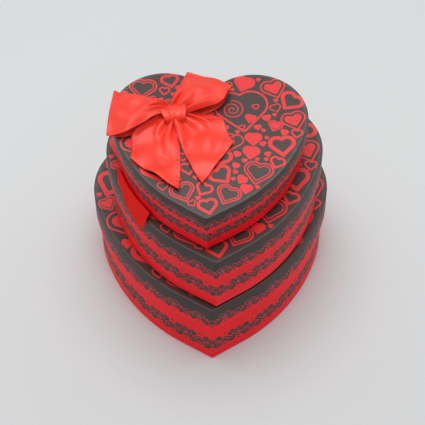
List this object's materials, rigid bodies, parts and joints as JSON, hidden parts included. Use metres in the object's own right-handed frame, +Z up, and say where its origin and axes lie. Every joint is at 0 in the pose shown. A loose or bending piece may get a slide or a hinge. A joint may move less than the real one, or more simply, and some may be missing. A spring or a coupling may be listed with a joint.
{
  "type": "nesting heart gift box set",
  "caption": "Stack of nesting heart-shaped gift boxes of printed paper over greyboard, each with a lift-off lid and a satin bow.",
  "frame": {"origin": "on the ground under the middle of the large lid's outline", "axes": "+Z up the stack, tips of the hearts towards -Y, +X to the right of a viewer facing the tips"},
  "size_m": [0.22, 0.1967, 0.2502],
  "materials": {
    "greyboard": "raw",
    "lid_print": "satin",
    "tray_print": "satin",
    "lining": "matte",
    "satin": "satin",
    "hot_glue": "satin"
  },
  "bodies": {
    "large_tray": {"large_bottom_sheet": "tray_print", "large_floor_board": "greyboard", "large_wall_board": "greyboard", "large_tray_wrap": "tray_print", "large_wall_lining": "lining", "large_floor_lining": "lining"},
    "large_lid": {"large_lid_board": "greyboard", "large_skirt_board": "greyboard", "large_lid_sheet": "lid_print", "large_skirt_wrap": "lid_print", "large_lid_lining": "lining", "large_bow_left_loop": "satin", "large_bow_right_loop": "satin", "large_bow_knot": "satin", "large_bow_left_tail": "satin", "large_bow_right_tail": "satin", "large_bow_glue_dot": "hot_glue"},
    "medium_tray": {"medium_bottom_sheet": "tray_print", "medium_floor_board": "greyboard", "medium_wall_board": "greyboard", "medium_tray_wrap": "tray_print", "medium_wall_lining": "lining", "medium_floor_lining": "lining"},
    "medium_lid": {"medium_lid_board": "greyboard", "medium_skirt_board": "greyboard", "medium_lid_sheet": "lid_print", "medium_skirt_wrap": "lid_print", "medium_lid_lining": "lining", "medium_bow_left_loop": "satin", "medium_bow_right_loop": "satin", "medium_bow_knot": "satin", "medium_bow_left_tail": "satin", "medium_bow_right_tail": "satin", "medium_bow_glue_dot": "hot_glue"},
    "small_tray": {"small_bottom_sheet": "tray_print", "small_floor_board": "greyboard", "small_wall_board": "greyboard", "small_tray_wrap": "tray_print", "small_wall_lining": "lining", "small_floor_lining": "lining"},
    "small_lid": {"small_lid_board": "greyboard", "small_skirt_board": "greyboard", "small_lid_sheet": "lid_print", "small_skirt_wrap": "lid_print", "small_lid_lining": "lining", "small_bow_left_loop": "satin", "small_bow_right_loop": "satin", "small_bow_knot": "satin", "small_bow_left_tail": "satin", "small_bow_right_tail": "satin", "small_bow_glue_dot": "hot_glue"}
  },
  "joints": [
    {"name": "large_lid_lift", "type": "slide", "parent": "large_tray", "child": "large_lid", "axis": [0, 0, 1], "range_m": [0, 0.15]},
    {"name": "medium_box_lift", "type": "slide", "parent": "large_lid", "child": "medium_tray", "axis": [0, 0, 1], "range_m": [0, 0.09]},
    {"name": "medium_lid_lift", "type": "slide", "parent": "medium_tray", "child": "medium_lid", "axis": [0, 0, 1], "range_m": [0, 0.13]},
    {"name": "small_box_lift", "type": "slide", "parent": "medium_lid", "child": "small_tray", "axis": [0, 0, 1], "range_m": [0, 0.08]},
    {"name": "small_lid_lift", "type": "slide", "parent": "small_tray", "child": "small_lid", "axis": [0, 0, 1], "range_m": [0, 0.11]}
  ]
}
